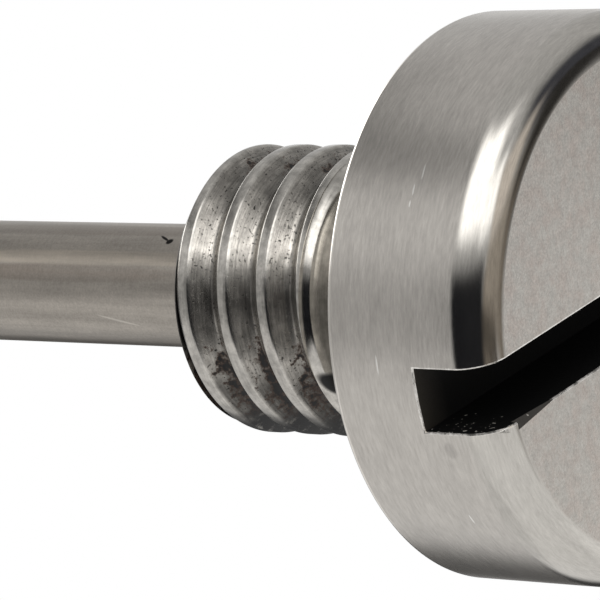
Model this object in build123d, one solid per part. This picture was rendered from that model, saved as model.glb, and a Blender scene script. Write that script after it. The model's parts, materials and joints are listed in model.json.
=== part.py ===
"""Magnetic drain plug: a slotted, turned stainless screw with a rod magnet bonded into its end.

The plug stands on its slotted face, with that face on z = 0, the axis along Z and the magnet
pointing up. The slot runs along Y. All sizes are in millimetres.

The plug body is one turned piece: a round head with a filleted front and a screwdriver slot,
a flat sealing face under the head, a relief neck, a 3/8-16 UNC thread and a chamfered end with
a blind bore. The magnet is a plain ground rod that bottoms in the bore.
"""
import math
import os
from build123d import *

# ---- Head -------------------------------------------------------------------------------
head_diameter = 17.8        # over the cylindrical side
head_height = 5.7           # slotted face to sealing face
front_fillet = 1.15         # radius between the side and the slotted face
rim_break = 0.10            # small chamfer round the sealing face
slot_width = 2.0            # screwdriver slot, right across the head
slot_depth = 2.6            # below the slotted face
slot_edge_break = 0.05      # deburred edges of the slot

# ---- Shank ------------------------------------------------------------------------------
shank_length = 9.6          # sealing face to the end of the shank
relief_length = 4.3         # sealing face to the first full crest
relief_wall_angle = 30.0    # slope of the relief wall, from the axis, in degrees
neck_fillet = 0.30          # radius between the neck and the sealing face
end_chamfer = 0.40          # 45 degree lead-in on the first thread

# ---- Thread, 3/8-16 UNC, right hand -----------------------------------------------------
thread_diameter = 9.40      # over the crests, as cut within class 2A
thread_pitch = 25.4 / 16    # sixteen turns to the inch
thread_angle = 60.0         # between the flanks, in degrees
crest_flat = 0.27           # width of the land on top of a turn
root_flat = 0.24            # width of the flat at the bottom of the groove
neck_clearance = 0.065      # the neck lies this far below the thread root, on the radius
run_out_turns = 1.36        # turns that the groove goes on past the thread, into the relief
tool_overrun = 0.10         # how far the groove cut reaches beyond the crests

# ---- Magnet -----------------------------------------------------------------------------
magnet_diameter = 4.1
magnet_length = 25.0
magnet_reach = 18.0         # length that stands out of the shank
magnet_tip_chamfer = 0.30
bond_gap = 0.05             # radial gap for the retaining compound
bore_mouth_chamfer = 0.15

# ---- Worked out from the above ----------------------------------------------------------
head_radius = head_diameter / 2
crest_radius = thread_diameter / 2
groove_width = thread_pitch - crest_flat
flank_slope = math.tan(math.radians(thread_angle / 2))
thread_depth = (groove_width - root_flat) / (2 * flank_slope)
root_radius = crest_radius - thread_depth
neck_radius = root_radius - neck_clearance

shank_end = head_height + shank_length
relief_end = head_height + relief_length
relief_wall_height = (crest_radius - neck_radius) / math.tan(math.radians(relief_wall_angle))

magnet_radius = magnet_diameter / 2
bore_radius = magnet_radius + bond_gap
bore_depth = magnet_length - magnet_reach
bore_floor = shank_end - bore_depth


def turned_blank():
    """The body as it leaves the lathe, before the slot, the thread and the bore."""
    fillet_start = head_radius - front_fillet
    neck_start = neck_radius + neck_fillet
    outline = Curve() + [
        Line((0, 0), (fillet_start, 0)),
        CenterArc((fillet_start, front_fillet), front_fillet, -90, 90),
        Polyline(
            (head_radius, front_fillet),
            (head_radius, head_height - rim_break),
            (head_radius - rim_break, head_height),
            (neck_start, head_height),
        ),
        CenterArc((neck_start, head_height + neck_fillet), neck_fillet, -90, -90),
        Polyline(
            (neck_radius, head_height + neck_fillet),
            (neck_radius, relief_end - relief_wall_height),
            (crest_radius, relief_end),
            (crest_radius, shank_end - end_chamfer),
            (crest_radius - end_chamfer, shank_end),
            (0, shank_end),
            (0, 0),
        ),
    ]
    return revolve(make_face(Plane.XZ * outline), Axis.Z)


def screwdriver_slot():
    """The slot across the slotted face, along Y."""
    across = 2 * head_diameter
    return Box(slot_width, across, 2 * slot_depth)


def deburr_slot(body):
    """The body with the long edges of the slot broken."""
    half_width = slot_width / 2
    on_wall = [
        edge
        for edge in body.edges()
        if abs(abs(edge.center().X) - half_width) < 1e-4
        and edge.center().Z < slot_depth - 1e-4
        and edge.bounding_box().size.X < 1e-4
    ]
    return chamfer(on_wall, slot_edge_break)


def groove_half_turn(start):
    """Half a turn of the cut between the threads, from its middle height at the XZ plane."""
    outer_radius = crest_radius + tool_overrun
    half_root = root_flat / 2
    half_mouth = half_root + tool_overrun * flank_slope + (groove_width - root_flat) / 2
    section = Plane.XZ * make_face(
        Polyline(
            (root_radius, start - half_root),
            (outer_radius, start - half_mouth),
            (outer_radius, start + half_mouth),
            (root_radius, start + half_root),
            close=True,
        )
    )
    path = Helix(thread_pitch, thread_pitch / 2, root_radius, center=(0, 0, start))
    return sweep(section, path=path, is_frenet=True)


def cut_thread(body):
    """The body with a right-hand groove cut from the relief out past the end of the shank."""
    start = relief_end - run_out_turns * thread_pitch
    finish = shank_end + thread_pitch
    half_turns = math.ceil((finish - start) / (thread_pitch / 2))
    cutter = groove_half_turn(start)
    for index in range(half_turns):
        rise = index * thread_pitch / 2
        body = body - Pos(0, 0, rise) * Rot(0, 0, 180 * index) * cutter
    return body


def magnet_bore():
    """The blind bore in the end of the shank, with a broken mouth."""
    hole = Pos(0, 0, bore_floor) * extrude(Circle(bore_radius), bore_depth)
    mouth = Pos(0, 0, shank_end - bore_mouth_chamfer) * Cone(
        bore_radius,
        bore_radius + bore_mouth_chamfer,
        bore_mouth_chamfer,
        align=(Align.CENTER, Align.CENTER, Align.MIN),
    )
    return hole + mouth


def plug_body():
    """The turned, slotted and threaded plug."""
    slotted = deburr_slot(turned_blank() - screwdriver_slot())
    return cut_thread(slotted - magnet_bore())


def magnet_rod():
    """The ground rod magnet, seated on the floor of the bore."""
    rod = Pos(0, 0, bore_floor) * extrude(Circle(magnet_radius), magnet_length)
    tip = rod.edges().group_by(Axis.Z)[-1]
    return chamfer(tip, magnet_tip_chamfer)


os.makedirs("parts", exist_ok=True)
export_step(plug_body(), "parts/plug_body.step")
export_step(magnet_rod(), "parts/magnet_rod.step")
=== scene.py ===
"""Magnetic drain plug: fine geometry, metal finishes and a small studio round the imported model.

The plug body is turned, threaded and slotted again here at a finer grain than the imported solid,
with rounded crests, broken edges and a burr on the slot. The magnet rod gets its ground surface
the same way. Lengths in this file are in millimetres until a piece is finished, which puts it in
metres.
"""
import json
import logging
import math
from abc import ABC, abstractmethod
from collections.abc import Callable
from dataclasses import dataclass, field
from enum import IntEnum
from functools import partial
from typing import ClassVar, Optional, Union

import bpy
from mathutils import Matrix, Vector

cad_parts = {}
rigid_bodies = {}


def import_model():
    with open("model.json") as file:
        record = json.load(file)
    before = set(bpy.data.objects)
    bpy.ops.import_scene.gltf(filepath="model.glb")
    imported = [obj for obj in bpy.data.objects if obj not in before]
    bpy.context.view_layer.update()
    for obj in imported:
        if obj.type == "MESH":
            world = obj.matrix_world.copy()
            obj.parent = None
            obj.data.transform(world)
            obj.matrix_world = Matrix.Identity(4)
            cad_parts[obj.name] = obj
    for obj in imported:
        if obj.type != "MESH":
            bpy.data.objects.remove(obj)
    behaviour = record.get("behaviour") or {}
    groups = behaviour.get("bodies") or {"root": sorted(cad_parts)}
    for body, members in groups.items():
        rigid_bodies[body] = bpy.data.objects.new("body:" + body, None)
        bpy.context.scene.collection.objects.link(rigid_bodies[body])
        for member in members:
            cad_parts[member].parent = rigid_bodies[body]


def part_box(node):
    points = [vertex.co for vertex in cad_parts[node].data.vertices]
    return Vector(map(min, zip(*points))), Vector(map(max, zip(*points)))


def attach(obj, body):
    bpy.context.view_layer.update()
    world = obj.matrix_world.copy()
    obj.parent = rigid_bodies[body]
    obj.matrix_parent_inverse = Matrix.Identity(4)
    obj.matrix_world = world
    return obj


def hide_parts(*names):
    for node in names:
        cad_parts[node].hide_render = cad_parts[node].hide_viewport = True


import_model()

LOG = logging.getLogger("drain_plug")
MILLIMETRE = 0.001
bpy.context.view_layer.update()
SMOOTH_ANGLE = math.radians(35)
SQUARE = 0.999  # the least cosine of a face that counts as square to an axis
FLAT = 0.99999  # and of one that is flat and level, such as an end
NEAR = 1e-3  # how far off a face may lie and still count as in its plane, in millimetres

Station = tuple[float, float]
Value = Union[float, tuple, bpy.types.Node, bpy.types.NodeSocket]
Inputs = dict[Union[int, str], Value]
Put = Callable[..., bpy.types.Node]
Face = bpy.types.MeshPolygon


# ---- Colour and nodes -------------------------------------------------------------------
def linear(hex_colour: str, shade: float = 1.0) -> tuple[float, float, float, float]:
    """Turn an sRGB hex colour into the linear values that a shader takes.

    Args:
        hex_colour: Six hex digits after a hash sign.
        shade: A factor on the linear values.

    Returns:
        Linear red, green and blue, and an alpha of 1.
    """
    channels = [int(hex_colour[i : i + 2], 16) / 255 for i in (1, 3, 5)]
    values = [c / 12.92 if c <= 0.04045 else ((c + 0.055) / 1.055) ** 2.4 for c in channels]
    return (values[0] * shade, values[1] * shade, values[2] * shade, 1.0)


def add(
    tree: bpy.types.NodeTree, kind: str, inputs: Optional[Inputs] = None, **settings: object
) -> bpy.types.Node:
    """Add a node with its settings and links.

    Args:
        tree: The node tree that takes the node.
        kind: The node's type name, without the leading "ShaderNode".
        inputs: The value of each input by name or place, or what feeds it: a socket, or a node,
            which stands for its first output in use.
        **settings: Properties set on the node itself.

    Returns:
        The new node.
    """
    node = tree.nodes.new("ShaderNode" + kind)
    for name, value in settings.items():
        setattr(node, name, value)
    for name, value in (inputs or {}).items():
        by_name = [socket for socket in node.inputs if socket.enabled and socket.name == name]
        socket = by_name[0] if by_name else node.inputs[name]
        if isinstance(value, bpy.types.Node):
            value = next(output for output in value.outputs if output.enabled)
        if isinstance(value, bpy.types.NodeSocket):
            tree.links.new(value, socket)
        else:
            socket.default_value = value
    return node


def new_material(name: str) -> tuple[bpy.types.Material, bpy.types.NodeTree]:
    """Make an empty node material and give its tree as well.

    Args:
        name: The material's name.

    Returns:
        The material and its node tree.
    """
    material = bpy.data.materials.new(name)
    material.use_nodes = True
    material.node_tree.nodes.clear()
    return material, material.node_tree


# ---- Patterns and marks -----------------------------------------------------------------
@dataclass(frozen=True)
class Ramp:
    """How one value follows another: flat, then a slope, then flat again.

    Args:
        start: Where the slope starts.
        end: Where it ends, which may lie below its start.
        low: The value up to the start.
        high: The value from the end on.
    """

    start: float = 0.0
    end: float = 1.0
    low: float = 0.0
    high: float = 1.0

    def over(self, value: Value, base: float = 0.0) -> Inputs:
        """The inputs of a Map Range node that follows a value, measured from a base."""
        return {0: value, 1: base + self.start, 2: base + self.end, 3: self.low, 4: self.high}


AS_IS = Ramp()  # follows a share as it is


@dataclass(frozen=True)
class Grain:
    """A cloudy pattern.

    Args:
        size: The size of its largest clouds, in millimetres.
        detail: How many finer layers it has.
        roughness: How strong the finer layers are.
    """

    size: float
    detail: float
    roughness: float = 0.5

    def over(self, point: Value) -> Inputs:
        """The inputs of a Noise Texture node that lays the pattern over the points."""
        scale, roughness = 1 / self.size, self.roughness
        return {"Vector": point, "Scale": scale, "Detail": self.detail, "Roughness": roughness}


@dataclass(frozen=True)
class LatheMarks:
    """Marks that run round the axis, as a cutter, a stone or a belt leaves them.

    Args:
        length: How far one mark runs round, in radians.
        pitch: The distance from one mark to the next, in millimetres.
        detail: How many finer layers they have.
    """

    length: float
    pitch: float
    detail: float = 4.0


@dataclass(frozen=True)
class Spot:
    """A soft oval mark on the side of a turned piece.

    Args:
        degrees: Its place round the axis, from +X.
        height: Its place along the axis, in millimetres.
        around: Half its size round the axis.
        along: Half its size along the axis.
        lean: How far it is turned, in degrees.
    """

    degrees: float
    height: float
    around: float
    along: float
    lean: float = 0.0


@dataclass
class TurnedSurface:
    """Where the points of a turned piece lie, in millimetres, and what lies on its surface.

    Args:
        put: Adds a node to the material's tree.
    """

    put: Put
    point: bpy.types.Node = field(init=False)
    z: bpy.types.NodeSocket = field(init=False)
    radius: bpy.types.NodeSocket = field(init=False)
    outward: bpy.types.Node = field(init=False)

    def __post_init__(self) -> None:
        """Work out the place from the piece's own coordinates."""
        put = self.put
        metres = put("TexCoord").outputs["Object"]
        self.point = put("VectorMath", {0: metres, "Scale": 1 / MILLIMETRE}, operation="SCALE")
        split = put("SeparateXYZ", {0: self.point})
        self.z = split.outputs[2]
        flat = put("CombineXYZ", {0: split.outputs[0], 1: split.outputs[1]})
        self.radius = put("VectorMath", {0: flat}, operation="LENGTH").outputs["Value"]
        self.outward = put("VectorMath", {0: flat}, operation="NORMALIZE")

    def turning_marks(self, marks: LatheMarks, across: Optional[Value] = None) -> bpy.types.Node:
        """Draw noise out into marks that run round the axis.

        Args:
            marks: The size of the marks.
            across: The distance measured across them, in millimetres. Without it, they follow
                the half-section: radius and height together.

        Returns:
            The noise, from 0 to 1.
        """
        put = self.put
        if across is None:
            across = put("Math", {0: self.radius, 1: self.z}, operation="ADD")
        around = put("VectorMath", {0: self.outward, "Scale": 1 / marks.length}, operation="SCALE")
        step = put("Math", {0: across, 1: 1 / marks.pitch}, operation="MULTIPLY")
        place = put("VectorMath", {0: around, 1: put("CombineXYZ", {2: step})}, operation="ADD")
        return put("TexNoise", Grain(1.0, marks.detail, 0.6).over(place))

    def spot(self, spot: Spot, base: float = 0.0) -> bpy.types.Node:
        """Mask one soft oval mark.

        Args:
            spot: Its place and size.
            base: The height that its own height is measured from.

        Returns:
            1 inside the mark, falling to 0 at its edge.
        """
        put = self.put
        turn, lean = math.radians(-spot.degrees), math.radians(-spot.lean)
        down = (0, 0, -(base + spot.height))
        level = put("VectorMath", {0: self.point, 1: down}, operation="ADD")
        ahead = put("VectorRotate", {"Vector": level, "Angle": turn}, rotation_type="Z_AXIS")
        tilted = put("VectorRotate", {"Vector": ahead, "Angle": lean}, rotation_type="X_AXIS")
        scale = (0, 1 / spot.around, 1 / spot.along)
        size = put("VectorMath", {0: tilted, 1: scale}, operation="MULTIPLY")
        reach = put("VectorMath", {0: size}, operation="LENGTH").outputs["Value"]
        mark = put("MapRange", Ramp(1.0, 0.6).over(reach), interpolation_type="SMOOTHSTEP")
        near = put("MapRange", Ramp(0.0, 0.1).over(put("SeparateXYZ", {0: ahead})))
        return put("Math", {0: mark, 1: near}, operation="MULTIPLY")

    def share(self, *patterns: tuple[Value, Ramp] | tuple[Value, Ramp, float]) -> bpy.types.Node:
        """Multiply the shares that patterns give, such as the tones of a metal or a mask's sides.

        Args:
            *patterns: Each pattern, the ramp that follows it and the ramp's base if it has one.

        Returns:
            The product of the shares.
        """
        total: Value = 1.0
        for pattern, ramp, *base in patterns:
            share = self.put("MapRange", ramp.over(pattern, *base))
            total = self.put("Math", {0: total, 1: share}, operation="MULTIPLY")
        return total

    def coated(self, colour: Value, *coats: tuple[Value, str]) -> Value:
        """Lay coats of colour over one another.

        Args:
            colour: The colour below.
            *coats: The mask and the hex colour of each coat, from the lowest up.

        Returns:
            The colour that shows.
        """
        for mask, coat in coats:
            layers = {"Factor": mask, "A": colour, "B": linear(coat)}
            colour = self.put("Mix", layers, data_type="RGBA")
        return colour


# ---- Finishes ---------------------------------------------------------------------------
class Finish(ABC):
    """A metal finish that can be made into a material."""

    name: ClassVar[str]
    relief_depth: float

    def build(self) -> bpy.types.Material:
        """Make the material.

        Returns:
            The material, with its node tree.
        """
        material, tree = new_material(self.name)
        put = partial(add, tree)
        inputs = self.surface(put, TurnedSurface(put))
        relief = {name: inputs.pop(name) for name in ("Strength", "Height")}
        inputs["Normal"] = put("Bump", {**relief, "Distance": self.relief_depth * MILLIMETRE})
        put("OutputMaterial", {0: put("BsdfPrincipled", inputs)})
        return material

    @abstractmethod
    def surface(self, put: Put, place: TurnedSurface) -> Inputs:
        """Work out what the shader takes.

        Args:
            put: Adds a node to the material's tree.
            place: Where the points of the piece lie.

        Returns:
            The inputs of the Principled shader, and the strength and height of its relief.
        """


@dataclass(frozen=True)
class BrushedHead(Finish):
    """Stainless steel, turned all over, brushed on the side and mirror-finished on the rounded
    edge.

    The side looks satin, with short soft lines round the axis, a few bright scratches and a
    faint smudge. The rounded edge mirrors the room, and a painted highlight brightens the
    burnished rim at the sealing face. The flat front has a fine mottled grain with a hint of
    warmth. The slot's edge is a thin, broken line of scuffed steel, painted near white and less
    metallic as a highlight.

    Args:
        edge_height: Where the rounded edge meets the side, in millimetres.
        flat_radius: Where the flat front meets the rounded edge.
        head_height: Where the side ends at the sealing face.
        slot_side: How far the slot's rounded edge reaches from the middle.
        slot_floor: How deep its rounded edge reaches.
    """

    name: ClassVar[str] = "brushed_stainless_head"
    edge_height: float
    flat_radius: float
    head_height: float
    slot_side: float
    slot_floor: float
    side_colour: str = "#CFCAC3"
    edge_colour: str = "#C8C4BD"
    front_colour: str = "#CCC8C1"
    warm_colour: str = "#CBC2BA"
    scratch_colour: str = "#FFFDF8"
    # painted highlight: the slot's scuffed edge is painted near white and less metallic
    painted_highlight_colour: str = "#F6F2EC"
    edge_wear_and_highlight_metallic: float = 0.35
    side_roughness: float = 0.25
    edge_roughness: float = 0.12
    front_roughness: float = 0.27
    anisotropy: float = 0.4
    relief_depth: float = 0.004  # millimetres, and its share on the edge, the side and the front
    edge_relief: float = 0.12
    side_relief: float = 0.5
    front_relief: float = 0.35
    lines: LatheMarks = LatheMarks(0.05, 0.08)  # about three times as coarse as brushing, to show
    bands: LatheMarks = LatheMarks(0.25, 0.45)
    grain: Grain = Grain(0.08, 3.0)
    mottle: Grain = Grain(0.30, 4.0, 0.65)
    warmth: Grain = Grain(1 / 1.5, 6.0, 0.7)
    line_tone: Ramp = Ramp(0.25, 0.75, 0.84, 1.10)
    band_tone: Ramp = Ramp(0.3, 0.7, 0.92, 1.05)
    grain_tone: Ramp = Ramp(0.3, 0.7, 0.85, 1.08)
    mottle_tone: Ramp = Ramp(0.3, 0.7, 0.88, 1.10)
    smudge_tone: Ramp = Ramp(low=1.0, high=0.85)
    # painted highlight: brightens the rim at the sealing face
    rim_highlight_tone: Ramp = Ramp(low=1.0, high=1.40)
    warm_share: Ramp = Ramp(0.42, 0.62)
    front_blend: Ramp = Ramp(0.10, -0.06)  # from the flat's edge
    burnished_highlit_rim: Ramp = Ramp(-0.20, -0.16)  # from the sealing face; the rim in this band gets a painted highlight
    brush_overrun: float = 0.30  # how far the brushing runs over the rounded edge, in millimetres
    brush_start: float = 0.90  # of the rounded edge's height, and where the side is fully brushed
    brush_full: float = 1.25
    # where the painted highlight runs along the slot's scuffed edge
    slot_reach: Ramp = Ramp(0.02, 0.0)  # from the end of the slot's rounded edge
    edge_wear_and_highlight_share: Ramp = Ramp(0.38, 0.58, 0.25, 1.0)
    smudge: Spot = Spot(-100.3, 1.87, 0.34, 0.26)
    scratch_strength: float = 0.75
    scratches: tuple[Spot, ...] = (
        Spot(-45.2, 2.74, 0.30, 0.035, 2),
        Spot(-48.9, 2.93, 0.22, 0.035, 2),
        Spot(-51.8, 2.95, 0.13, 0.035, 2),
        Spot(-83.0, 3.90, 0.35, 0.035, 2),
        Spot(-118.0, 2.30, 0.25, 0.035, 2),
        Spot(60.0, 3.10, 0.40, 0.035, 2),
        Spot(155.0, 2.60, 0.30, 0.035, 2),
    )

    def surface(self, put: Put, place: TurnedSurface) -> Inputs:
        """Work out what the shader takes.

        Args:
            put: Adds a node to the material's tree.
            place: Where the points of the piece lie.

        Returns:
            The inputs of the Principled shader, and the strength and height of its relief.
        """
        lines, bands = (place.turning_marks(marks) for marks in (self.lines, self.bands))
        grain, mottle, warmth = (
            put("TexNoise", pattern.over(place.point))
            for pattern in (self.grain, self.mottle, self.warmth)
        )
        overrun = {0: lines, 1: self.brush_overrun, 2: place.z}
        ragged = put("Math", overrun, operation="MULTIPLY_ADD")
        brushed = Ramp(self.edge_height * self.brush_start, self.edge_height * self.brush_full)
        side, front = (
            put("MapRange", inputs, interpolation_type="SMOOTHSTEP")
            for inputs in (
                brushed.over(ragged),
                self.front_blend.over(place.radius, self.flat_radius),
            )
        )
        # the burnished rim, which also gets a painted highlight below
        rim = put("MapRange", self.burnished_highlit_rim.over(place.z, self.head_height))

        metal = place.coated(linear(self.edge_colour), (side, self.side_colour))
        warm = put("MapRange", self.warm_share.over(warmth))
        flat = place.coated(linear(self.front_colour), (warm, self.warm_colour))
        metal = put("Mix", {"Factor": front, "A": metal, "B": flat}, data_type="RGBA")
        # brushing marks, the smudge and the painted highlight on the rim
        brushed_tone_and_highlight = place.share(
            (lines, self.line_tone),
            (bands, self.band_tone),
            (place.spot(self.smudge), self.smudge_tone),
            (rim, self.rim_highlight_tone),
        )
        grained = place.share((grain, self.grain_tone), (mottle, self.mottle_tone))
        tone = put("Mix", {"Factor": front, "A": brushed_tone_and_highlight, "B": grained})
        colour = put("VectorMath", {0: metal, "Scale": tone}, operation="SCALE")

        scratched: Value = 0.0
        for scratch in self.scratches:
            scratched = put("Math", {0: scratched, 1: place.spot(scratch)}, operation="MAXIMUM")
        scratched = put("Math", {0: scratched, 1: self.scratch_strength}, operation="MULTIPLY")
        from_middle = put("Math", {0: put("SeparateXYZ", {0: place.point})}, operation="ABSOLUTE")
        # painted highlight: a near-white, less metallic line along the slot's scuffed edge, broken
        # by the mottle
        edge_wear_and_highlight = place.share(
            (from_middle, self.slot_reach, self.slot_side),
            (place.z, self.slot_reach, self.slot_floor),
            (mottle, self.edge_wear_and_highlight_share),
        )
        colour = place.coated(
            colour, (scratched, self.scratch_colour), (edge_wear_and_highlight, self.painted_highlight_colour)
        )

        roughness: Value = self.edge_roughness
        for part, level in (
            (side, self.side_roughness), (front, self.front_roughness), (rim, self.edge_roughness)
        ):
            roughness = put("Mix", {"Factor": part, "A": roughness, "B": level})
        relief = put("Mix", {"Factor": front, "A": lines, "B": grain})
        depth: Value = self.edge_relief
        for part, level in ((side, self.side_relief), (front, self.front_relief)):
            depth = put("Mix", {"Factor": part, "A": depth, "B": level})
        return {
            "Base Color": colour,
            "Metallic": put("MapRange", Ramp(low=1.0, high=self.edge_wear_and_highlight_metallic).over(edge_wear_and_highlight)),
            "Roughness": roughness,
            "Anisotropic": self.anisotropy,
            "Tangent": put("Tangent", direction_type="RADIAL", axis="Z"),
            "Strength": depth,
            "Height": relief,
        }


@dataclass(frozen=True)
class SlotGrimeAndShade(Finish):
    """Rough milled steel under old black grease.

    The slot looks black: its grease is painted near black, which also stands in for the shade in
    the slot. Its walls glint near the side of the head, its floor turns grey-brown at the very end
    as painted light where the slot opens, and the burr on its edge is bare dark steel.

    Args:
        head_radius: Radius of the head, in millimetres.
    """

    name: ClassVar[str] = "greasy_shaded_slot"
    head_radius: float
    # painted near black: old grease, and painted shade inside the slot
    grease_and_shade_colour: str = "#040404"
    open_end_light_colour: str = "#2E2A24"
    burr_colour: str = "#5A5753"
    steel_colour: str = "#E8E4DC"
    roughness: float = 0.6
    specular: float = 0.2
    relief_depth: float = 0.02
    relief: float = 0.6
    grit: Grain = Grain(0.17, 2.0)
    glint_limit: Ramp = Ramp(-3.2, -0.6, 0.80, 0.655)  # from the head's side
    open_end_light: Ramp = Ramp(-1.4, 0.0)  # the same; painted light on the floor where the slot opens
    glint_size: Ramp = Ramp(0.0, 0.03)
    burr_slope: Ramp = Ramp(0.2, 0.35)

    def surface(self, put: Put, place: TurnedSurface) -> Inputs:
        """Work out what the shader takes.

        Args:
            put: Adds a node to the material's tree.
            place: Where the points of the piece lie.

        Returns:
            The inputs of the Principled shader, and the strength and height of its relief.
        """
        grit = put("TexNoise", self.grit.over(place.point))
        normal = put("SeparateXYZ", {0: put("NewGeometry").outputs["True Normal"]}).outputs
        across, down = (put("Math", {0: normal[axis]}, operation="ABSOLUTE") for axis in (0, 2))
        slope = put("Math", {0: across, 1: down}, operation="MULTIPLY")
        burr = put("MapRange", self.burr_slope.over(slope))
        limit = put("MapRange", self.glint_limit.over(place.radius, self.head_radius))
        glint = put("Math", {0: grit, 1: limit}, operation="SUBTRACT")
        glint = put("MapRange", self.glint_size.over(glint))
        glint = put("Math", {0: glint, 1: across}, operation="MULTIPLY")
        # painted light: the floor turns grey-brown towards the slot's open end
        end = put("MapRange", self.open_end_light.over(place.radius, self.head_radius))
        end = put("Math", {0: end, 1: down}, operation="MULTIPLY")
        return {
            "Base Color": place.coated(
                linear(self.grease_and_shade_colour),
                (end, self.open_end_light_colour),
                (burr, self.burr_colour),
                (glint, self.steel_colour),
            ),
            "Metallic": put("Math", {0: glint, 1: burr}, operation="MAXIMUM"),
            "Roughness": self.roughness,
            "Specular IOR Level": self.specular,
            "Strength": self.relief,
            "Height": grit,
        }


@dataclass(frozen=True)
class TurnedSealingFace(Finish):
    """Finely turned stainless on the back of the head, where the washer sits.

    It mirrors what is near, with faint rings round the axis.
    """

    name: ClassVar[str] = "turned_sealing_face"
    metal_colour: str = "#D2CEC7"
    roughness: float = 0.12
    relief_depth: float = 0.002
    relief: float = 0.3
    rings: LatheMarks = LatheMarks(1.5, 0.08, 2)
    ring_tone: Ramp = Ramp(0.3, 0.7, 0.93, 1.0)

    def surface(self, put: Put, place: TurnedSurface) -> Inputs:
        """Work out what the shader takes.

        Args:
            put: Adds a node to the material's tree.
            place: Where the points of the piece lie.

        Returns:
            The inputs of the Principled shader, and the strength and height of its relief.
        """
        rings = place.turning_marks(self.rings, place.radius)
        tone = put("MapRange", self.ring_tone.over(rings))
        return {
            "Base Color": put(
                "VectorMath", {0: linear(self.metal_colour)[:3], "Scale": tone}, operation="SCALE"
            ),
            "Metallic": 1.0,
            "Roughness": self.roughness,
            "Strength": self.relief,
            "Height": rings,
        }


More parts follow.
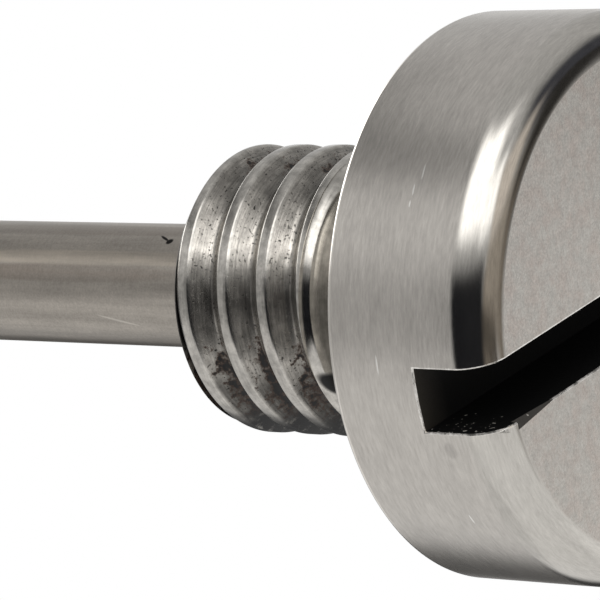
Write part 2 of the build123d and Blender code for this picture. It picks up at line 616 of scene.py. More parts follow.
@dataclass(frozen=True)
class CutThread(Finish):
    """Single-point cut stainless thread with an old oil film in the groove.

    The lands and the relief's wall are bright, the flanks are dull with tool marks and pits, and
    rust and black grease sit in the root. Painted shade darkens the roots, the top and the relief's
    neck, and a painted highlight brightens the flanks on the side kept free of dirt. On the side
    facing the viewpoint a dark band on the flanks is painted shade, and a black line along the
    outer edge of the last turn is a painted dark reflection. The grease is thick on the far side,
    where it covers the lands too and the flanks and lands are darker, partly from grime and partly
    as painted shade. A black lump of grease at the relief's end is partly painted shade in the deep
    corner.

    Args:
        crest_radius: Radius of the thread's lands, in millimetres.
        root_radius: Radius of its root.
        pitch: Height of one turn.
        relief_end: Height where the relief ends and the thread begins.
        last_edge: Height of the last land's outer edge, where it crosses +X.
    """

    name: ClassVar[str] = "cut_stainless_thread"
    crest_radius: float
    root_radius: float
    pitch: float
    relief_end: float
    last_edge: float
    land_colour: str = "#C6C2BB"
    flank_colour: str = "#BFBAB2"
    rust_colour: str = "#3E2A1B"
    # black grease, which also paints the dark line on the last edge and shade in the deep corner
    grease_and_shade_colour: str = "#0D0B0A"
    neck_roughness: float = 0.12
    land_roughness: float = 0.20
    flank_roughness: float = 0.26
    tucked_roughness: float = 0.32
    dirt_roughness: float = 0.55
    relief_depth: float = 0.006  # millimetres, then its share on the neck and on the thread
    neck_relief: float = 0.25
    thread_relief: float = 0.7
    tool_marks: LatheMarks = LatheMarks(0.22, 0.09, 5)  # about twice as coarse, so that they show
    mottle: Grain = Grain(1 / 2.4, 6.0, 0.65)
    pit_grain: Grain = Grain(0.09, 2.0)
    stains: Grain = Grain(0.40, 6.0, 0.7)

    # the first side below is kept free of dirt and its flanks get a painted highlight
    clean_lit_side: float = -50.0  # degrees round from +X, as the next three
    # the side facing the viewpoint: painted shade as a dark band on the flanks and a black line on
    # the last edge
    dark_band_side: float = -69.0
    # the grimy side: grime, and painted shade on its flanks and lands
    dirty_shaded_side: float = -150.0
    # painted shade: the flanks are darker on the top side
    top_shade_side: float = 30.0

    threaded: Ramp = Ramp(-0.04, 0.04)  # from the relief's end
    film: Ramp = Ramp(0.04, 0.22)  # of the thread's depth
    film_sheltered: Ramp = Ramp(0.20, 0.50, 1.0, 0.3)  # less on flanks that face outwards
    pits: Ramp = Ramp(0.63, 0.68)
    root_dirt: Ramp = Ramp(0.2, 1.0, -0.14, 0.05)
    wiped: Ramp = Ramp(0.70, 0.92, 0.0, -0.30)
    caked: Ramp = Ramp(0.60, 0.92, 0.0, 0.08)
    rust: Ramp = Ramp(0.48, 0.56)
    grease: Ramp = Ramp(0.55, 0.60)
    # a black line along the last land's outer edge is a painted dark reflection
    edge_raggedness: float = 0.10
    past_edge: Ramp = Ramp(0.0, 0.02)  # from the last land's outer edge
    below_land: Ramp = Ramp(-0.10, -0.30)  # from the lands
    dark_edge_window: Ramp = Ramp(0.80, 0.92)
    off_end: Ramp = Ramp(0.85, 0.95, 1.0, 0.0)  # keeps the line off the flat end
    # grease patches on the grimy side, partly painted shade
    far_side: Ramp = Ramp(0.93, 0.985)
    far_patches: Ramp = Ramp(0.36, 0.46)
    # black grease at the relief's end, partly painted shade in the deep corner
    clot_and_shade: Spot = Spot(-112, -0.42, 0.80, 0.28, 24)  # its height from the relief's end

    flank_streaks: Ramp = Ramp(0.3, 0.7, 0.60, 1.30)
    land_streaks: Ramp = Ramp(0.3, 0.7, 0.85, 1.08)
    patch_tone: Ramp = Ramp(0.35, 0.65, 0.68, 1.12)
    # darker flanks towards the grimy side: grime and painted shade
    far_flank_grime_and_shade: Ramp = Ramp(0.64, 0.82, 1.0, 0.22)
    # painted shade on the flanks towards the top
    top_shade: Ramp = Ramp(0.25, 0.60, 1.0, 0.58)
    # painted shade: a dark band on the flanks on the side facing the viewpoint
    dark_band_shade: Ramp = Ramp(0.965, 0.992, 1.0, 0.52)
    # painted highlight on the flanks on the side kept free of dirt
    clean_side_highlight: Ramp = Ramp(0.92, 0.99, 1.0, 1.15)
    # painted shade in the roots, left out on the side kept free of dirt
    root_shade: Ramp = Ramp(0.92, 0.99, 0.60, 1.0)
    at_root: Ramp = Ramp(0.45, 0.95)
    # darker lands towards the grimy side: grime and painted shade
    far_land_grime_and_shade: Ramp = Ramp(0.88, 0.97, 1.0, 0.45)
    tucked: Ramp = Ramp(-0.28, -0.45)  # from the lands, in the relief only; the neck there gets painted shade
    recess_shade_tone: Ramp = Ramp(low=1.0, high=0.50)
    pit_tone: Ramp = Ramp(low=1.0, high=0.12)
    film_metallic: Ramp = Ramp(low=1.0, high=0.80)
    dirt_metallic: Ramp = Ramp(low=1.0, high=0.15)

    def surface(self, put: Put, place: TurnedSurface) -> Inputs:
        """Work out what the shader takes.

        Args:
            put: Adds a node to the material's tree.
            place: Where the points of the piece lie.

        Returns:
            The inputs of the Principled shader, and the strength and height of its relief.
        """
        threaded = put("MapRange", self.threaded.over(place.z, self.relief_end))
        depth = put("MapRange", Ramp(self.crest_radius, self.root_radius).over(place.radius))
        facing_end = put("SeparateXYZ", {0: put("TexCoord").outputs["Normal"]}).outputs[2]
        film = place.share((depth, self.film), (threaded, AS_IS), (facing_end, self.film_sheltered))
        marks = place.turning_marks(self.tool_marks)
        mottle, pits, stains = (
            put("TexNoise", pattern.over(place.point))
            for pattern in (self.mottle, self.pit_grain, self.stains)
        )
        pits = place.share((pits, self.pits), (film, AS_IS))
        # directions round the axis; edge is the side facing the viewpoint, which carries painted
        # shade
        sides = (self.clean_lit_side, self.dark_band_side, self.dirty_shaded_side, self.top_shade_side)
        clean_lit, edge, dirty_shaded, top_shaded = (
            put("VectorMath", {0: place.outward, 1: way}, operation="DOT_PRODUCT").outputs["Value"]
            for way in ((math.cos(turn), math.sin(turn), 0) for turn in map(math.radians, sides))
        )

        amount: Value = stains
        for source, ramp in ((depth, self.root_dirt), (clean_lit, self.wiped), (dirty_shaded, self.caked)):
            more = put("MapRange", ramp.over(source))
            amount = put("Math", {0: amount, 1: more}, operation="ADD")
        rust, grease = (
            place.share((amount, ramp), (film, AS_IS)) for ramp in (self.rust, self.grease)
        )
        east, north, _ = put("SeparateXYZ", {0: place.outward}).outputs
        turn = put("Math", {0: north, 1: east}, operation="ARCTAN2")
        inputs = {0: turn, 1: -self.pitch / math.tau, 2: place.z}
        unwound = put("Math", inputs, operation="MULTIPLY_ADD")
        inputs = {0: stains, 1: self.edge_raggedness, 2: unwound}
        ragged = put("Math", inputs, operation="MULTIPLY_ADD")
        # painted dark reflection: a black line along the last land's outer edge, kept to the side
        # facing the viewpoint
        edge_dark_reflection = place.share(
            (ragged, self.past_edge, self.last_edge),
            (place.radius, self.below_land, self.crest_radius),
            (edge, self.dark_edge_window),
            (facing_end, self.off_end),
        )
        # grease on the grimy side and a black lump at the relief's end, both partly painted shade
        far_side = place.share((dirty_shaded, self.far_side), (stains, self.far_patches))
        for patch in (edge_dark_reflection, place.spot(self.clot_and_shade, self.relief_end), far_side):
            grease = put("Math", {0: grease, 1: patch}, operation="MAXIMUM")
        dirt = put("Math", {0: rust, 1: grease}, operation="MAXIMUM")

        metal = place.coated(linear(self.land_colour), (film, self.flank_colour))
        land = put("MapRange", self.land_streaks.over(marks))
        flank = put("MapRange", self.flank_streaks.over(marks))
        streaks = put("Mix", {"Factor": film, "A": land, "B": flank})
        # painted shade in the roots, except on the side kept free of dirt
        at_root = put("MapRange", self.at_root.over(depth))
        light = put("MapRange", self.root_shade.over(clean_lit))
        root_shade_tone = put("Mix", {"Factor": at_root, "A": 1.0, "B": light})
        # flank tones: painted shade towards the grimy side, the top and the side facing the
        # viewpoint, and a painted highlight on the side kept free of dirt
        flank_tone = place.share(
            (dirty_shaded, self.far_flank_grime_and_shade), (top_shaded, self.top_shade), (edge, self.dark_band_shade), (clean_lit, self.clean_side_highlight)
        )
        flank_tone = put("Math", {0: flank_tone, 1: root_shade_tone}, operation="MULTIPLY")
        # darker lands towards the grimy side: grime and painted shade
        land_tone = put("MapRange", self.far_land_grime_and_shade.over(dirty_shaded))
        side_tone = put("Mix", {"Factor": film, "A": land_tone, "B": flank_tone})
        # painted shade on the relief's neck, which is also rougher
        tucked = put("MapRange", self.tucked.over(place.radius, self.crest_radius))
        tucked = put("Mix", {"Factor": threaded, "A": tucked, "B": 0.0})
        tone = place.share(
            (mottle, self.patch_tone), (tucked, self.recess_shade_tone), (pits, self.pit_tone)
        )
        for other in (streaks, side_tone):
            tone = put("Math", {0: tone, 1: other}, operation="MULTIPLY")
        colour = put("VectorMath", {0: metal, "Scale": tone}, operation="SCALE")

        roughness: Value = self.neck_roughness
        for part, level in (
            (threaded, self.land_roughness),
            (film, self.flank_roughness),
            (tucked, self.tucked_roughness),
            (dirt, self.dirt_roughness),
        ):
            roughness = put("Mix", {"Factor": part, "A": roughness, "B": level})
        strength = put("Mix", {"Factor": threaded, "A": self.neck_relief, "B": self.thread_relief})
        relief = put("Math", {0: marks, 1: pits}, operation="SUBTRACT")
        return {
            "Base Color": place.coated(
                colour, (rust, self.rust_colour), (grease, self.grease_and_shade_colour)
            ),
            "Metallic": place.share((dirt, self.dirt_metallic), (film, self.film_metallic)),
            "Roughness": roughness,
            "Strength": strength,
            "Height": relief,
        }


@dataclass(frozen=True)
class GroundMagnet(Finish):
    """Centreless-ground magnet alloy: a dull grey with a soft sheen and handling marks.

    Long faint stains run along the rod, with a painted highlight streak and two painted dark
    bands along it that stand in for reflections, and it has one dark nick and a light scratch.
    """

    name: ClassVar[str] = "ground_magnet_alloy"
    metal_colour: str = "#B2ABA2"
    nick_colour: str = "#15120F"
    scratch_colour: str = "#D8D2C8"
    # painted highlight streak along the rod
    painted_highlight_colour: str = "#D9CCBA"
    # painted dark reflection bands along the rod
    painted_dark_band_colour: str = "#6A5A4E"
    roughness: float = 0.32
    anisotropy: float = 0.3
    relief_depth: float = 0.003
    relief: float = 0.3
    lines: LatheMarks = LatheMarks(0.2, 0.09)
    bands: LatheMarks = LatheMarks(0.4, 2.0)
    grain: Grain = Grain(0.07, 3.0)
    stains: Grain = Grain(1 / 1.6, 4.0, 0.6)
    stain_stretch: float = 0.06  # how dense the stains are along the rod, against round it
    line_tone: Ramp = Ramp(0.3, 0.7, 0.93, 1.05)
    band_tone: Ramp = Ramp(0.3, 0.7, 0.92, 1.05)
    grain_tone: Ramp = Ramp(0.3, 0.7, 0.88, 1.08)
    stain_tone: Ramp = Ramp(0.3, 0.7, 0.72, 1.16)
    reflection_bands: tuple[tuple[Spot, float, str], ...] = (  # painted reflections along the rod: place, strength and colour
        (Spot(-45, 21.0, 0.34, 9.0), 0.40, painted_highlight_colour),
        (Spot(-60, 22.5, 0.36, 7.0), 0.45, painted_dark_band_colour),
        (Spot(-8, 21.0, 0.42, 9.0), 0.30, painted_dark_band_colour),
    )
    reflection_band_share: Ramp = Ramp(0.35, 0.65, 0.3, 1.3)
    scratch: Spot = Spot(-105.5, 19.9, 0.05, 1.05, -13)
    scratch_strength: float = 0.50
    nick: tuple[Spot, Spot] = (
        Spot(-24.6, 17.95, 0.14, 0.17, 30),
        Spot(-20.5, 18.24, 0.06, 0.32, -28),
    )

    def surface(self, put: Put, place: TurnedSurface) -> Inputs:
        """Work out what the shader takes.

        Args:
            put: Adds a node to the material's tree.
            place: Where the points of the piece lie.

        Returns:
            The inputs of the Principled shader, and the strength and height of its relief.
        """
        lines, bands = (place.turning_marks(marks) for marks in (self.lines, self.bands))
        grain = put("TexNoise", self.grain.over(place.point))
        stretch = (1, 1, self.stain_stretch)
        drawn = put("VectorMath", {0: place.point, 1: stretch}, operation="MULTIPLY")
        stains = put("TexNoise", self.stains.over(drawn))
        tone = place.share(
            (lines, self.line_tone),
            (bands, self.band_tone),
            (grain, self.grain_tone),
            (stains, self.stain_tone),
        )
        colour = put(
            "VectorMath", {0: linear(self.metal_colour)[:3], "Scale": tone}, operation="SCALE"
        )
        # a painted highlight streak and two painted dark bands along the rod stand in for its
        # reflections
        ragged = self.reflection_band_share
        for spot, strength, hue in self.reflection_bands:
            faded = Ramp(ragged.start, ragged.end, ragged.low * strength, ragged.high * strength)
            reflection_band = put("MapRange", faded.over(stains))
            reflection_band = put("Math", {0: place.spot(spot), 1: reflection_band}, operation="MULTIPLY")
            colour = place.coated(colour, (reflection_band, hue))
        scratch = place.spot(self.scratch)
        scratch = put("Math", {0: scratch, 1: self.scratch_strength}, operation="MULTIPLY")
        head, tail = (place.spot(spot) for spot in self.nick)
        nick = put("Math", {0: head, 1: tail}, operation="MAXIMUM")
        return {
            "Base Color": place.coated(
                colour, (scratch, self.scratch_colour), (nick, self.nick_colour)
            ),
            "Metallic": 1.0,
            "Roughness": self.roughness,
            "Anisotropic": self.anisotropy,
            "Tangent": put("Tangent", direction_type="RADIAL", axis="Z"),
            "Strength": self.relief,
            "Height": lines,
        }


# ---- Mesh helpers, all in millimetres ---------------------------------------------------
def deselect_all() -> None:
    """Deselect every object."""
    for piece in bpy.context.view_layer.objects:
        piece.select_set(False)


def make_active(piece: bpy.types.Object) -> None:
    """Select one object and make it the active one.

    Args:
        piece: The object.
    """
    deselect_all()
    piece.select_set(True)
    bpy.context.view_layer.objects.active = piece


def clear_selection(piece: bpy.types.Object, kind: str) -> None:
    """Make a piece active and deselect its whole mesh.

    Args:
        piece: The piece.
        kind: What is selected from then on: "EDGE" or "FACE".
    """
    make_active(piece)
    bpy.ops.object.mode_set(mode="EDIT")
    bpy.ops.mesh.select_mode(type=kind)
    bpy.ops.mesh.select_all(action="DESELECT")
    bpy.ops.object.mode_set(mode="OBJECT")


def turned(name: str, stations: list[Station], segments: int) -> bpy.types.Object:
    """Turn a closed solid by drawing a disc out through one ring after another.

    Args:
        name: The object's name.
        stations: Radius and height of each ring, from the first cap to the last.
        segments: Edges round each ring.

    Returns:
        The solid, closed at both ends.
    """
    deselect_all()
    radius, height = stations[0]
    bpy.ops.mesh.primitive_circle_add(
        vertices=segments, radius=radius, fill_type="NGON", location=(0, 0, height)
    )
    piece = bpy.context.active_object
    piece.name = name
    bpy.ops.object.transform_apply(location=True, rotation=True, scale=True)
    bpy.ops.object.mode_set(mode="EDIT")
    bpy.ops.mesh.select_all(action="SELECT")
    for next_radius, next_height in stations[1:]:
        step = (0, 0, next_height - height)
        bpy.ops.mesh.extrude_region_move(TRANSFORM_OT_translate={"value": step})
        ratio = next_radius / radius
        bpy.ops.transform.resize(value=(ratio, ratio, 1), center_override=(0, 0, 0))
        radius, height = next_radius, next_height
    bpy.ops.mesh.select_all(action="SELECT")
    bpy.ops.mesh.normals_make_consistent(inside=False)
    bpy.ops.object.mode_set(mode="OBJECT")
    return piece


def arc(centre: Station, radius: float, start: float, end: float, steps: int) -> list[Station]:
    """Points on an arc in the half-section, both ends included.

    Args:
        centre: Radius and height of the arc's centre.
        radius: The arc's radius.
        start: Angle of the first point in degrees, from outwards towards up.
        end: Angle of the last point.
        steps: Edges along the arc.

    Returns:
        The points in order.
    """
    angles = [math.radians(start + (end - start) * i / steps) for i in range(steps + 1)]
    return [(centre[0] + radius * math.cos(a), centre[1] + radius * math.sin(a)) for a in angles]


def cut(piece: bpy.types.Object, tool: bpy.types.Object) -> None:
    """Cut a tool's shape out of a piece and remove the tool.

    Args:
        piece: The piece that is cut.
        tool: The closed solid whose shape is cut away.
    """
    make_active(piece)
    modifier = piece.modifiers.new("cut", "BOOLEAN")
    modifier.operation = "DIFFERENCE"
    modifier.solver = "EXACT"
    modifier.object = tool
    bpy.ops.object.modifier_apply(modifier=modifier.name)
    bpy.data.objects.remove(tool)


def part_shading(piece: bpy.types.Object, chosen: Callable[[Face], bool]) -> None:
    """Make the border of some faces sharp, so that they and their neighbours shade apart.

    Args:
        piece: The piece with the faces.
        chosen: Tells whether a face is one of them.
    """
    clear_selection(piece, "FACE")
    for face in piece.data.polygons:
        face.select = chosen(face)
    bpy.ops.object.mode_set(mode="EDIT")
    bpy.ops.mesh.region_to_loop()
    bpy.ops.mesh.mark_sharp()
    bpy.ops.object.mode_set(mode="OBJECT")


def finish_piece(piece: bpy.types.Object, node: str) -> None:
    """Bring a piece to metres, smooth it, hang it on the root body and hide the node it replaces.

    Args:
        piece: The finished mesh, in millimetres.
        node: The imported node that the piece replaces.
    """
    make_active(piece)
    bpy.ops.transform.resize(value=(MILLIMETRE,) * 3, center_override=(0, 0, 0))
    bpy.ops.object.transform_apply(location=True, rotation=True, scale=True)
    bpy.ops.object.shade_smooth_by_angle(angle=SMOOTH_ANGLE)
    part_shading(piece, lambda face: abs(face.normal.z) > FLAT)
    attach(piece, "root")
    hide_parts(node)
    LOG.info("%s: %d faces", piece.name, len(piece.data.polygons))


# ---- The plug body ----------------------------------------------------------------------
class Zone(IntEnum):
    """The zones of the plug's surface, each with its own finish, in the order of their slots."""

    HEAD = 0
    SLOT = 1
    SHANK = 2
    SEALING_FACE = 3


@dataclass
class PlugBody:
    """The turned stainless plug: slotted head, relief neck, thread and magnet bore.

    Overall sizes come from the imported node. The others repeat the part's own values, or give the
    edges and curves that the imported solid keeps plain.
    """

    front_fillet: float = 1.15
    rim_rounding: float = 0.18
    slot_width: float = 2.0
    slot_depth: float = 2.6
    slot_edge_break: float = 0.05
    burr_width: float = 0.26
    burr_from: float = 5.3
    burr_to: float = 7.75
    burr_slope: float = 0.4  # the least cosine of the burr's own faces
    burr_area: float = 0.05  # and their least area, in square millimetres
    head_height: float = 5.7
    neck_radius: float = 3.70
    neck_fillet: float = 0.30
    relief_length: float = 4.3
    relief_lip: float = 0.045  # the wall's short steep lip, then a gentle lead and a round shoulder
    relief_lead: float = 0.12
    relief_lead_angle: float = 32.0
    relief_rounding: float = 0.50
    relief_wall_angle: float = 58.0
    crest_radius: float = 4.70
    thread_pitch: float = 25.4 / 16
    thread_start: float = 7.842
    turns_to_edge: int = 5  # from the groove's start to the last land
    flank_angle: float = 45.0
    crest_width: float = 0.37
    crest_rounding: float = 0.10
    root_rounding: float = 0.28
    mouth_angle: float = 12.0  # how far the groove's mouth leans from the lands, in degrees
    end_chamfer: float = 0.35
    end_rim: float = 0.12
    bond_gap: float = 0.05
    bore_mouth_chamfer: float = 0.15
    tool_overrun: float = 0.01
    segments: int = 256
    fillet_steps: int = 20
    shoulder_steps: int = 8
    arc_steps: int = 6
    plain_segments: int = 64
    head_radius: float = field(init=False)
    shank_end: float = field(init=False)
    magnet_radius: float = field(init=False)
    bore_floor: float = field(init=False)
    root_radius: float = field(init=False)
    relief_end: float = field(init=False)

    def __post_init__(self) -> None:
        """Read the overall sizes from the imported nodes."""
        body_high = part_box("plug_body")[1]
        magnet_low, magnet_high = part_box("magnet_rod")
        self.head_radius = body_high.x / MILLIMETRE
        self.shank_end = body_high.z / MILLIMETRE
        self.magnet_radius = magnet_high.x / MILLIMETRE
        self.bore_floor = magnet_low.z / MILLIMETRE
        self.relief_end = self.head_height + self.relief_length
        flank = math.radians(self.flank_angle)
        sharp_depth = (self.thread_pitch - self.crest_width) / 2 / math.tan(flank)
        filled = self.root_rounding * (1 / math.sin(flank) - 1)
        self.root_radius = self.crest_radius - sharp_depth + filled

    def relief_wall(self) -> list[Station]:
        """Lay out the wall between the relief and the thread, from its foot to its lip.

        Returns:
            Radius and height of each station.
        """
        steep, gentle = math.radians(self.relief_wall_angle), math.radians(self.relief_lead_angle)
        lip = (
            self.crest_radius - self.relief_lip,
            self.relief_end - self.relief_lip / math.tan(steep),
        )
        lead = (lip[0] - self.relief_lead, lip[1] - self.relief_lead / math.tan(gentle))
        centre = (
            lead[0] - self.relief_rounding * math.cos(gentle),
            lead[1] + self.relief_rounding * math.sin(gentle),
        )
        ends = -self.relief_wall_angle, -self.relief_lead_angle
        shoulder = arc(centre, self.relief_rounding, *ends, self.shoulder_steps)
        radius, height = shoulder[0]
        foot = (self.neck_radius, height - (radius - self.neck_radius) / math.tan(steep))
        return [foot, *shoulder, lip, (self.crest_radius, self.relief_end)]

    def blank(self) -> bpy.types.Object:
        """Turn the body without its slot and thread.

        Returns:
            The blank.
        """
        neck = self.neck_radius
        bore = self.magnet_radius + self.bond_gap
        fillet_centre = (self.head_radius - self.front_fillet, self.front_fillet)
        rim_centre = (self.head_radius - self.rim_rounding, self.head_height - self.rim_rounding)
        neck_centre = (neck + self.neck_fillet, self.head_height + self.neck_fillet)
        stations = [
            *arc(fillet_centre, self.front_fillet, -90, 0, self.fillet_steps),
            *arc(rim_centre, self.rim_rounding, 0, 90, self.arc_steps),
            *arc(neck_centre, self.neck_fillet, -90, -180, self.arc_steps),
            *self.relief_wall(),
            (self.crest_radius, self.shank_end - self.end_chamfer),
            (self.crest_radius - self.end_chamfer, self.shank_end),
            (bore + self.bore_mouth_chamfer, self.shank_end),
            (bore, self.shank_end - self.bore_mouth_chamfer),
            (bore, self.bore_floor),
        ]
        return turned("plug_body_fine", stations, self.segments)

    def groove_outline(self) -> list[Station]:
        """Lay out the groove's half-section, from the lower mouth round the root to the upper.

        Returns:
            Radius of each point, and its height over the middle of the groove.
        """
        lean = 90 - self.flank_angle
        mouth = (self.thread_pitch - self.crest_width) / 2
        corner = self.crest_rounding * math.tan(math.radians(lean / 2))
        root_centre = (self.root_radius + self.root_rounding, 0)
        crest_centre = (self.crest_radius - self.crest_rounding, mouth + corner)
        upper = arc(root_centre, self.root_rounding, 180, 180 - lean, self.arc_steps)
        upper += arc(crest_centre, self.crest_rounding, -lean, -self.mouth_angle, self.arc_steps)
        radius, height = upper[-1]
        outside = self.crest_radius + self.tool_overrun
        rise = (outside - radius) / math.tan(math.radians(self.mouth_angle))
        upper.append((outside, height + rise))
        lower = [(radius, -height) for radius, height in upper[:0:-1]]
        return lower + upper

    def groove_tool(self) -> bpy.types.Object:
        """Wind the groove's section along the thread's helix, short of the shank's end.

        Returns:
            The solid that the thread's groove is cut with.
        """
        outline = self.groove_outline()
        deselect_all()
        bpy.ops.mesh.primitive_circle_add(vertices=len(outline), fill_type="NOTHING")
        tool = bpy.context.active_object
        for vertex, (radius, height) in zip(tool.data.vertices, outline):
            vertex.co = (radius, 0, self.thread_start + height)
        winding = tool.modifiers.new("winding", "SCREW")
        winding.axis = "Z"
        winding.angle = math.tau
        winding.screw_offset = self.thread_pitch
        length = self.shank_end + self.thread_pitch - self.thread_start
        winding.iterations = math.ceil(length / self.thread_pitch)
        winding.steps = winding.render_steps = self.segments
        bpy.ops.object.modifier_apply(modifier=winding.name)
        bpy.ops.object.mode_set(mode="EDIT")
        bpy.ops.mesh.select_all(action="DESELECT")
        bpy.ops.mesh.select_non_manifold()
        bpy.ops.mesh.fill_holes(sides=0)
        bpy.ops.mesh.select_all(action="SELECT")
        bpy.ops.mesh.normals_make_consistent(inside=False)
        bpy.ops.object.mode_set(mode="OBJECT")
        rim = self.shank_end - self.end_rim
        past_end = [(self.head_radius, rim), (self.head_radius, 2 * rim)]
        cut(tool, turned("end_rim", past_end, self.plain_segments))
        return tool

    def slot_tool(self) -> bpy.types.Object:
        """Make the block that the slot cutter sweeps.

        Returns:
            The block.
        """
        deselect_all()
        sweep = (self.slot_width, 3 * self.head_radius, 2 * self.slot_depth)
        bpy.ops.mesh.primitive_cube_add(size=1, location=(0, 0, 0), scale=sweep)
        tool = bpy.context.active_object
        bpy.ops.object.transform_apply(location=True, rotation=True, scale=True)
        return tool

    def burr_tool(self) -> bpy.types.Object:
        """Make the slim pyramid that opens one slot edge towards the side of the head.

        Returns:
            The pyramid.
        """
        length = self.burr_to - self.burr_from
        over = self.tool_overrun
        deselect_all()
        bpy.ops.mesh.primitive_cone_add(
            vertices=4,
            radius1=self.burr_width,
            depth=length,
            location=(over - self.slot_width / 2, -self.burr_to + length / 2, -over),
            rotation=(math.radians(-90), 0, 0),
        )
        tool = bpy.context.active_object
        bpy.ops.object.transform_apply(location=True, rotation=True, scale=True)
        return tool

    def past_slot(self, face: Face) -> tuple[float, float]:
        """How far a face's middle lies outside the slot: beside its walls and above its floor."""
        return abs(face.center.x) - self.slot_width / 2, face.center.z - self.slot_depth

    def in_slot(self, face: Face) -> bool:
        """Tell whether a face belongs to the slot's walls or its floor.

        Args:
            face: A face of the body.

        Returns:
            True if it does.
        """
        beside, above = self.past_slot(face)
        on_wall = abs(beside) < NEAR and abs(face.normal.x) > SQUARE
        on_floor = abs(above) < NEAR and abs(face.normal.z) > SQUARE
        return max(beside, above) < NEAR and (on_wall or on_floor)

    def on_slot_edge(self, face: Face) -> bool:
        """Whether a face belongs to the slot's rounded edges."""
        margin = NEAR / 10
        return margin < max(self.past_slot(face)) < self.slot_edge_break - margin

    def on_burr(self, face: Face) -> bool:
        """Tell whether a face belongs to the hollow that the burr's tool leaves.

        Args:
            face: A face of the body.

        Returns:
            True if it does.
        """
        centre, normal = face.center, face.normal
        beside = abs(centre.x + self.slot_width / 2) < self.burr_width
        above = centre.z < self.burr_width
        along = self.burr_from < -centre.y < self.burr_to + NEAR
        sloping = normal.x > self.burr_slope and normal.z < -self.burr_slope
        return beside and above and along and sloping and face.area > self.burr_area

    def break_slot_edges(self, piece: bpy.types.Object) -> None:
        """Round the edges where the slot meets the head's outer surface.

        Args:
            piece: The body with its slot cut.
        """
        clear_selection(piece, "EDGE")
        sides: dict[tuple[int, int], list[bool]] = {}
        for face in piece.data.polygons:
            for key in face.edge_keys:
                sides.setdefault(key, []).append(self.in_slot(face))
        for edge in piece.data.edges:
            edge.select = sorted(sides.get(edge.key, [])) == [False, True]
        bpy.ops.object.mode_set(mode="EDIT")
        bpy.ops.mesh.bevel(
            offset=self.slot_edge_break, segments=2, affect="EDGES", clamp_overlap=False
        )
        bpy.ops.object.mode_set(mode="OBJECT")

    def zone(self, face: Face) -> Zone:
        """Find the zone that a face belongs to.

        Args:
            face: A face of the body.

        Returns:
            The zone.
        """
        height, edge = face.center.z, self.slot_depth + NEAR
        if height < edge and (self.in_slot(face) or self.on_burr(face)):
            return Zone.SLOT
        if height > self.head_height + NEAR:
            return Zone.SHANK
        if height > self.head_height - NEAR and face.normal.z > SQUARE:
            return Zone.SEALING_FACE
        return Zone.HEAD

    def dress(self, piece: bpy.types.Object) -> None:
        """Give each face of the body its finish.

        Args:
            piece: The body, in millimetres.
        """
        last_land = self.thread_start + self.turns_to_edge * self.thread_pitch
        finishes = {
            Zone.HEAD: BrushedHead(
                self.front_fillet,
                self.head_radius - self.front_fillet,
                self.head_height,
                self.slot_width / 2 + self.slot_edge_break,
                self.slot_depth + self.slot_edge_break,
            ),
            Zone.SLOT: SlotGrimeAndShade(self.head_radius),
            Zone.SHANK: CutThread(
                self.crest_radius,
                self.root_radius,
                self.thread_pitch,
                self.relief_end,
                last_land - (self.thread_pitch - self.crest_width) / 2,
            ),
            Zone.SEALING_FACE: TurnedSealingFace(),
        }
        piece.data.materials.clear()
        for zone in Zone:
            piece.data.materials.append(finishes[zone].build())
        for face in piece.data.polygons:
            face.material_index = self.zone(face)

    def build(self) -> bpy.types.Object:
        """Make the whole body and dress it.

        Returns:
            The finished body.
        """
        piece = self.blank()
        cut(piece, self.groove_tool())
        cut(piece, self.slot_tool())
        self.break_slot_edges(piece)
        cut(piece, self.burr_tool())
        part_shading(piece, self.on_slot_edge)
        self.dress(piece)
        finish_piece(piece, "plug_body")
        return piece


# ---- The magnet -------------------------------------------------------------------------
@dataclass
class MagnetRod:
    """The ground rod magnet, bonded into the bore."""

    tip_chamfer: float = 0.30
    segments: int = 192

    def build(self) -> bpy.types.Object:
        """Make the rod and dress it.

        Returns:
            The finished rod.
        """
        low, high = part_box("magnet_rod")
        radius, floor, tip = (value / MILLIMETRE for value in (high.x, low.z, high.z))
        stations = [
            (radius, floor),
            (radius, tip - self.tip_chamfer),
            (radius - self.tip_chamfer, tip),
        ]
        piece = turned("magnet_rod_fine", stations, self.segments)
        piece.data.materials.append(GroundMagnet().build())
        finish_piece(piece, "magnet_rod")
        return piece


# ---- The studio -------------------------------------------------------------------------
@dataclass
class Viewpoint:
    """The camera, placed by its direction from a point near the plug's axis.

    The plug stands on its slotted face, and the camera looks up at that face from below.
    """

    azimuth: float = 21.403
    elevation: float = -37.966
    roll: float = -88.22
    distance: float = 141.82
    aim: tuple[float, float, float] = (-0.339, -0.133, 13.588)
    lens: float = 261.53
    sensor_width: float = 36
    clip: tuple[float, float] = (0.01, 10)  # metres

    def axes(self) -> tuple[Vector, Vector, Vector]:
        """Work out how the camera is turned.

        Returns:
            The directions to the right, up and back towards the camera.
        """
        turn, rise = math.radians(self.azimuth), math.radians(self.elevation)
        level = math.cos(rise)
        back = Vector((math.sin(turn) * level, -math.cos(turn) * level, math.sin(rise)))
        side = Vector((0, 0, 1)).cross(back).normalized()
        over = back.cross(side)
        lean = math.radians(self.roll)
        right = side * math.cos(lean) + over * math.sin(lean)
        return right, back.cross(right), back

    def build(self) -> bpy.types.Object:
        """Make the camera.

        Returns:
            The camera.
        """
        right, up, back = self.axes()
        data = bpy.data.cameras.new("viewpoint")
        data.lens = self.lens
        data.sensor_width = self.sensor_width
        data.clip_start, data.clip_end = self.clip
        camera = bpy.data.objects.new("viewpoint", data)
        bpy.context.scene.collection.objects.link(camera)
        turn = Matrix((right, up, back)).transposed().to_4x4()
        place = (Vector(self.aim) + back * self.distance) * MILLIMETRE
        camera.matrix_world = Matrix.Translation(place) @ turn
        bpy.context.scene.camera = camera
        return camera


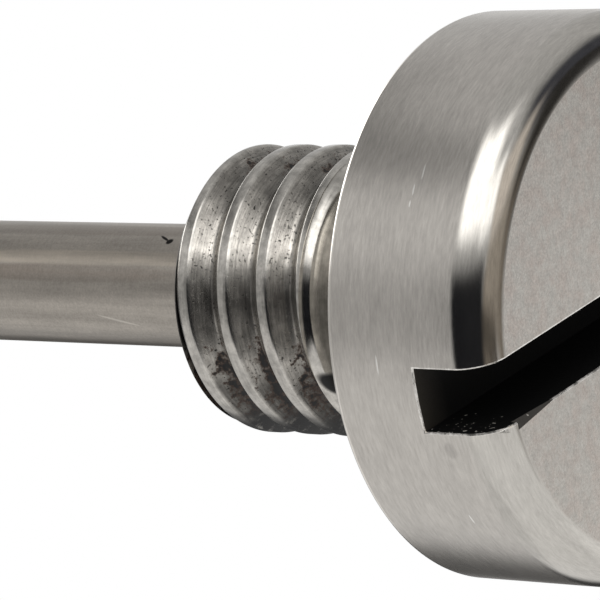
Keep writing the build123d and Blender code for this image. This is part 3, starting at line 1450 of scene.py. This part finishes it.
@dataclass(frozen=True)
class Panel:
    """One soft panel of light or shade in the room, as the metal sees it.

    Args:
        level: How bright it is, where 1 is white.
        around: Where it starts and ends, in degrees round from the viewpoint's side, positive to
            its right.
        height: The same in degrees above the viewpoint's level.
        soft: How wide its soft borders are, at the sides and then above and below.
        colour: Its hue.
    """

    level: float
    around: tuple[float, float]
    height: tuple[float, float]
    soft: tuple[float, float] = (30, 12)
    colour: str = "#FFFFFF"


@dataclass
class Studio:
    """A pale floor, a soft lamp and the room that the metal mirrors.

    Args:
        viewpoint: The camera, which the room's panels are placed from.
    """

    viewpoint: Viewpoint
    room_level: float = 0.55
    fill_level: float = 0.8
    panels: tuple[Panel, ...] = (
        Panel(0.90, (-300, 300), (-120, -32), (30, 18)),  # pale table
        Panel(0.88, (40, 300), (-120, -9), (30, 8)),  # table, nearer on the right
        Panel(0.80, (106, 300), (-24, 12), (8, 12)),  # pale card on the far right
        Panel(0.98, (100, 300), (-30, -2), (8, 8)),  # its lower part, in full light
        Panel(0.74, (-300, -74), (-120, -18)),  # table, in half light on the left
        Panel(0.42, (-150, -74), (-18, 5), (30, 16)),  # left wall in shade
        Panel(0.22, (-150, -78), (34, 49), (30, 10)),  # gap above the long softbox
        Panel(0.85, (150, 300), (-7, 20), (20, 14)),  # window far behind
        Panel(0.85, (-300, -160), (-7, 20), (20, 14)),
        Panel(0.05, (160, 300), (-40, -8), (16, 18)),  # dark edge of the table behind
        Panel(0.05, (-300, -160), (-40, -8), (16, 18)),
        Panel(0.32, (54, 110), (2, 54), (12, 24)),  # grey wall on the right
        Panel(0.07, (62, 112), (17, 44), (14, 12), "#E6EAFF"),  # its dark part
        Panel(0.03, (82, 105), (0, 26), (12, 5), "#F4EEE8"),
        Panel(0.24, (30, 98), (-8, 4), (11, 6), "#FFF0DE"),  # warm wall below
        Panel(0.20, (20, 60), (-24, -4), (12, 8), "#FFF0DE"),  # its lower left part
        Panel(0.10, (24, 72), (-14, -5), (9, 4), "#FFF0DE"),  # its shaded foot
        Panel(0.012, (-68, 30), (-38, 9), (16, 12), "#DDE4FF"),  # dark cloth behind the viewpoint
        Panel(0.95, (-75, 36), (48, 64), (30, 14)),  # glow over the main softbox
        Panel(2.2, (-62, 18), (20, 60), (26, 13)),  # main softbox
        Panel(2.0, (8, 42), (16, 35), (12, 12)),  # its lower right corner
        Panel(0.70, (-118, -66), (10, 32), (20, 10)),  # long softbox on the left
        Panel(3.0, (-158, -112), (8, 32), (16, 12)),  # its nearer end
        Panel(0.78, (40, 74), (9, 30), (14, 10), "#FFF6EC"),  # end of the main softbox
        Panel(0.40, (36, 84), (-3, 10), (14, 8), "#FFF3E4"),  # its glow on the wall
    )
    floor_size: float = 1.2  # metres, as the sizes that follow
    floor_drop: float = 0.00002
    floor_colour: str = "#F2F1EF"
    lamp_direction: tuple[float, float, float] = (0.2, 0.1, 1)
    lamp_target: tuple[float, float, float] = (0, 0, 0.015)
    lamp_distance: float = 0.5
    lamp_size: float = 0.4
    lamp_power: float = 1.2  # watts

    def floor(self) -> bpy.types.Object:
        """Lay the floor, which shows from above only, so that the slotted face can be seen.

        Returns:
            The floor.
        """
        deselect_all()
        bpy.ops.mesh.primitive_plane_add(size=self.floor_size, location=(0, 0, -self.floor_drop))
        plane = bpy.context.active_object
        plane.name = "studio_floor"
        material, tree = new_material("matt_white_floor")
        paper = add(tree, "BsdfDiffuse", {"Color": linear(self.floor_colour)})
        clear = add(tree, "BsdfTransparent")
        below = add(tree, "NewGeometry").outputs["Backfacing"]
        surface = add(tree, "MixShader", {0: below, 1: paper, 2: clear})
        add(tree, "OutputMaterial", {0: surface})
        plane.data.materials.append(material)
        plane.visible_glossy = False
        plane.visible_diffuse = False
        plane.visible_transmission = False
        plane.visible_shadow = False
        return plane

    def room(self, put: Put) -> Value:
        """Paint the room that the metal mirrors.

        Args:
            put: Adds a node to the world's tree.

        Returns:
            The room's colour in each direction.
        """
        direction = put("TexCoord").outputs["Generated"]
        right, up, back = (
            put(
                "VectorMath", {0: direction, 1: tuple(axis)}, operation="DOT_PRODUCT"
            ).outputs["Value"]
            for axis in self.viewpoint.axes()
        )
        around = put("Math", {0: right, 1: back}, operation="ARCTAN2")
        height = put("Math", {0: up}, operation="ARCSINE")
        room: Value = linear("#FFFFFF", self.room_level)
        for panel in self.panels:
            mask: Value = 1.0
            ways = zip((around, height), (panel.around, panel.height), panel.soft)
            for source, ends, soft in ways:
                for end, inward in zip(ends, (soft / 2, -soft / 2)):
                    border = Ramp(math.radians(end - inward), math.radians(end + inward))
                    fade = put("MapRange", border.over(source), interpolation_type="SMOOTHSTEP")
                    mask = put("Math", {0: mask, 1: fade}, operation="MULTIPLY")
            paint = linear(panel.colour, panel.level)
            room = put("Mix", {"Factor": mask, "A": room, "B": paint}, data_type="RGBA")
        return room

    def surroundings(self) -> None:
        """Set the world: white to the eye, the room to the metal and an even fill to the rest."""
        world = bpy.data.worlds.new("studio_room")
        bpy.context.scene.world = world
        world.use_nodes = True
        world.node_tree.nodes.clear()
        put = partial(add, world.node_tree)
        path = put("LightPath").outputs
        straight = {0: path["Is Camera Ray"], 1: path["Is Transmission Ray"]}
        eye = put("Math", straight, operation="MAXIMUM")
        seen: Value = linear("#FFFFFF", self.fill_level)
        for ray, view in ((path["Is Glossy Ray"], self.room(put)), (eye, linear("#FFFFFF"))):
            seen = put("Mix", {"Factor": ray, "A": seen, "B": view}, data_type="RGBA")
        light = put("Background", {"Color": seen, "Strength": 1.0})
        put("OutputWorld", {0: light})

    def lamp(self) -> None:
        """Hang the soft square lamp that points at the plug."""
        data = bpy.data.lights.new("top_softbox", "AREA")
        data.size = self.lamp_size
        data.energy = self.lamp_power
        lamp = bpy.data.objects.new("top_softbox", data)
        bpy.context.scene.collection.objects.link(lamp)
        lamp.visible_glossy = False
        away = Vector(self.lamp_direction).normalized()
        lamp.location = Vector(self.lamp_target) + away * self.lamp_distance
        lamp.rotation_mode = "QUATERNION"
        lamp.rotation_quaternion = away.to_track_quat("Z", "Y")

    def build(self) -> None:
        """Set up the whole studio."""
        self.floor()
        self.surroundings()
        self.lamp()


def main() -> None:
    """Build the pieces, then the studio round them."""
    logging.basicConfig(level=logging.INFO, format="%(name)s: %(message)s")
    PlugBody().build()
    MagnetRod().build()
    viewpoint = Viewpoint()
    viewpoint.build()
    Studio(viewpoint).build()
    bpy.context.scene.view_settings.view_transform = "Standard"


if __name__ == "__main__":
    main()
